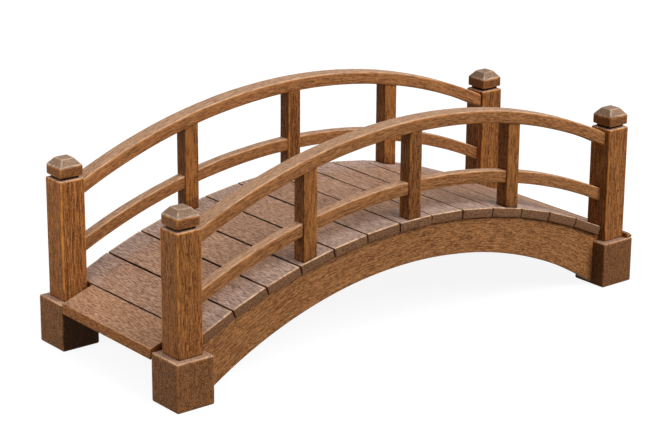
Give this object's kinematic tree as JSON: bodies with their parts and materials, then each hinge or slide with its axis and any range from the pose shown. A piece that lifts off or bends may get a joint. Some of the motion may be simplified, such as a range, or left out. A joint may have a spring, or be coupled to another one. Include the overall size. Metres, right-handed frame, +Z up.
{
  "type": "moon bridge",
  "caption": "Arched timber garden bridge with a curved board deck on two arched stringers, curved handrails and middle rails on balusters, and capped corner posts on square foot blocks",
  "frame": {"origin": "on the ground under the middle of the span, midway between the two railings", "axes": "+X along the bridge from the left end to the right end, +Y across from the front railing to the back one, +Z up"},
  "size_m": [1.912, 0.764, 0.733],
  "materials": {
    "foot_wood": "stained timber block, rough sawn, edges worn pale",
    "post_wood": "stained timber, upright grain, edges worn pale",
    "cap_wood": "stained timber, end grain on the sloping faces",
    "stringer_wood": "stained timber, grain along the arch",
    "rail_wood": "stained timber, grain along the rail, top edges worn pale",
    "baluster_wood": "stained timber, upright grain",
    "deck_wood": "stained timber walked grey, grain along the boards"
  },
  "bodies": {
    "root": {"foot_left_front": "foot_wood", "foot_left_back": "foot_wood", "foot_right_front": "foot_wood", "foot_right_back": "foot_wood", "post_left_front": "post_wood", "post_left_back": "post_wood", "post_right_front": "post_wood", "post_right_back": "post_wood", "cap_left_front": "cap_wood", "cap_left_back": "cap_wood", "cap_right_front": "cap_wood", "cap_right_back": "cap_wood", "stringer_front": "stringer_wood", "stringer_back": "stringer_wood", "handrail_front": "rail_wood", "handrail_back": "rail_wood", "midrail_front": "rail_wood", "midrail_back": "rail_wood", "baluster_front_1": "baluster_wood", "baluster_front_2": "baluster_wood", "baluster_front_3": "baluster_wood", "baluster_back_1": "baluster_wood", "baluster_back_2": "baluster_wood", "baluster_back_3": "baluster_wood", "deck_board_1": "deck_wood", "deck_board_2": "deck_wood", "deck_board_3": "deck_wood", "deck_board_4": "deck_wood", "deck_board_5": "deck_wood", "deck_board_6": "deck_wood", "deck_board_7": "deck_wood", "deck_board_8": "deck_wood", "deck_board_9": "deck_wood", "deck_board_10": "deck_wood", "deck_board_11": "deck_wood", "deck_board_12": "deck_wood", "deck_board_13": "deck_wood", "end_board_left": "deck_wood", "end_board_right": "deck_wood"}
  },
  "joints": []
}
